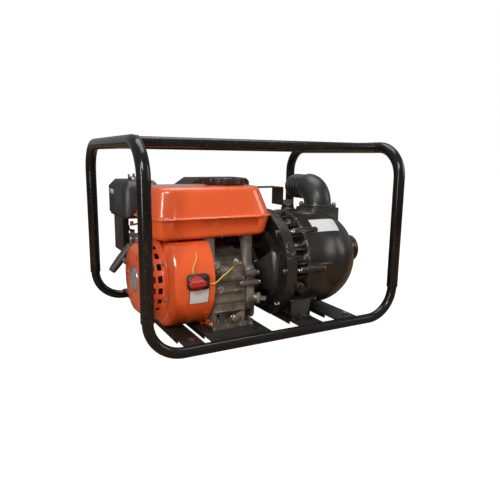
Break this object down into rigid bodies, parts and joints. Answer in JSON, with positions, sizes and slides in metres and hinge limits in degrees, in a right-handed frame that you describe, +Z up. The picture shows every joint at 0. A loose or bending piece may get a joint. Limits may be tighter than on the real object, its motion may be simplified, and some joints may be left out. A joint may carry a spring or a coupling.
{
  "type": "gas engine trash pump",
  "caption": "Petrol engine driving a domed self-priming water pump inside a welded tube frame, with a side suction port and a barbed top discharge elbow.",
  "frame": {"origin": "on the floor, under the middle of the tube frame", "axes": "+X from the recoil starter to the suction port, +Y from the oil filler side to the cylinder head side, +Z up"},
  "size_m": [0.6865, 0.528, 0.458],
  "materials": {
    "frame_black": "gloss black enamel",
    "engine_orange": "gloss orange enamel",
    "cast_alloy": "sand cast, lightly stained",
    "bright_steel": "zinc plated",
    "dark_plastic": "moulded black plastic, satin",
    "pump_black": "moulded black, semi-gloss",
    "red_plastic": "gloss red",
    "grey_plastic": "grey moulded plastic",
    "black_rubber": "smooth rubber",
    "yellow_wire": "yellow insulation",
    "brass_zinc": "yellow zinc plated",
    "hot_black": "heat-proof matte black",
    "iron": "machined iron",
    "foam": "oiled foam"
  },
  "bodies": {
    "frame": {"air_cleaner_base": "dark_plastic", "air_cleaner_cover": "dark_plastic", "carburettor": "cast_alloy", "casing_bolts": "brass_zinc", "crankcase": "cast_alloy", "cross_plate_left": "frame_black", "cross_plate_right": "frame_black", "cylinder_barrel": "cast_alloy", "cylinder_head": "cast_alloy", "discharge_elbow": "pump_black", "engine_plate": "frame_black", "exhaust_pipe": "hot_black", "fan_cover": "engine_orange", "filter_element": "foam", "frame_bolts": "bright_steel", "fuel_hose": "black_rubber", "fuel_tank": "engine_orange", "heat_shield": "hot_black", "hoop_left": "frame_black", "hoop_right": "frame_black", "ignition_lead": "black_rubber", "intake_pipe": "dark_plastic", "lower_rail_front": "frame_black", "lower_rail_rear": "frame_black", "mount_bolts": "bright_steel", "muffler": "hot_black", "muffler_guard": "hot_black", "pump_back_plate": "pump_black", "pump_bracket": "pump_black", "pump_casing": "pump_black", "pump_plate": "frame_black", "recoil_housing": "engine_orange", "rocker_cover": "hot_black", "sensor_wire": "yellow_wire", "shaft_seal": "black_rubber", "side_cover": "cast_alloy", "spark_plug": "bright_steel", "switch_body": "dark_plastic", "switch_wire": "yellow_wire", "top_rail_front": "frame_black", "top_rail_rear": "frame_black", "volute": "iron"},
    "crank": {"crankshaft": "bright_steel", "flywheel": "iron", "impeller": "iron"},
    "piston_body": {"piston": "cast_alloy"},
    "pulley": {"recoil_pulley": "dark_plastic"},
    "pull_handle": {"recoil_handle": "dark_plastic", "recoil_rope": "black_rubber"},
    "switch": {"switch_knob": "red_plastic"},
    "throttle": {"throttle_lever": "red_plastic"},
    "choke": {"choke_lever": "dark_plastic"},
    "fuel_tap": {"fuel_tap_lever": "grey_plastic"},
    "oil_dipstick": {"dipstick": "grey_plastic"},
    "oil_drain": {"oil_drain_bolt": "bright_steel"},
    "tank_cap": {"fuel_cap": "dark_plastic"},
    "cleaner_nut": {"wing_nut": "bright_steel"},
    "flap": {"check_valve": "black_rubber"},
    "priming": {"priming_plug": "pump_black"},
    "pump_drain": {"pump_drain_plug": "pump_black"}
  },
  "joints": [
    {"name": "crank_spin", "type": "hinge", "parent": "frame", "child": "crank", "pos_m": [-0.11, -0.093, 0.1418], "axis": [1, 0, 0], "continuous": true},
    {"name": "piston_slide", "type": "slide", "parent": "frame", "child": "piston_body", "axis": [0, 0.9063, 0.4226], "range_m": [-0.048, 0]},
    {"name": "handle_pull", "type": "slide", "parent": "frame", "child": "pull_handle", "axis": [-0.5102, 0.7202, 0.4701], "range_m": [0, 0.5], "stiffness_N_per_m": 12, "springref_m": -0.05},
    {"name": "pulley_spin", "type": "hinge", "parent": "frame", "child": "pulley", "pos_m": [-0.296, -0.093, 0.1418], "axis": [1, 0, 0], "range_deg": [0, 760]},
    {"name": "switch_turn", "type": "hinge", "parent": "frame", "child": "switch", "pos_m": [-0.21, -0.22, 0.15], "axis": [0, -1, 0], "range_deg": [0, 60]},
    {"name": "throttle_swing", "type": "hinge", "parent": "frame", "child": "throttle", "pos_m": [-0.247, 0.04385, 0.24862], "axis": [0, 0, 1], "range_deg": [-5, 35]},
    {"name": "choke_swing", "type": "hinge", "parent": "frame", "child": "choke", "pos_m": [-0.273, 0.04385, 0.23062], "axis": [0, 0, 1], "range_deg": [-60, 0]},
    {"name": "fuel_tap_swing", "type": "hinge", "parent": "frame", "child": "fuel_tap", "pos_m": [-0.259, 0.07285, 0.18362], "axis": [0, 1, 0], "range_deg": [0, 90]},
    {"name": "dipstick_turn", "type": "hinge", "parent": "frame", "child": "oil_dipstick", "pos_m": [-0.058, -0.168, 0.086], "axis": [0.8, -0.6, 0], "range_deg": [0, 720]},
    {"name": "oil_drain_turn", "type": "hinge", "parent": "frame", "child": "oil_drain", "pos_m": [-0.104, -0.188, 0.0473], "axis": [0, -1, 0], "range_deg": [0, 720]},
    {"name": "fuel_cap_turn", "type": "hinge", "parent": "frame", "child": "tank_cap", "pos_m": [-0.086, -0.097, 0.352], "axis": [0, 0, 1], "range_deg": [0, 90]},
    {"name": "wing_nut_turn", "type": "hinge", "parent": "frame", "child": "cleaner_nut", "pos_m": [-0.2555, 0.08, 0.356], "axis": [0, 0, 1], "range_deg": [0, 1080]},
    {"name": "flap_swing", "type": "hinge", "parent": "frame", "child": "flap", "pos_m": [0.259, -0.093, 0.203], "axis": [0, 1, 0], "range_deg": [0, 55], "stiffness_Nm_per_rad": 0.02, "springref_deg": -5.73},
    {"name": "priming_plug_turn", "type": "hinge", "parent": "frame", "child": "priming", "pos_m": [0.122, -0.057, 0.285], "axis": [0, 0, 1], "range_deg": [0, 720]},
    {"name": "pump_drain_turn", "type": "hinge", "parent": "frame", "child": "pump_drain", "pos_m": [0.062, -0.21724, 0.1048], "axis": [0, -0.9272, -0.3746], "range_deg": [0, 720]}
  ],
  "couplings": [
    {"joint": "pulley_spin", "follows": "handle_pull", "rad_per_m": 26.3}
  ]
}
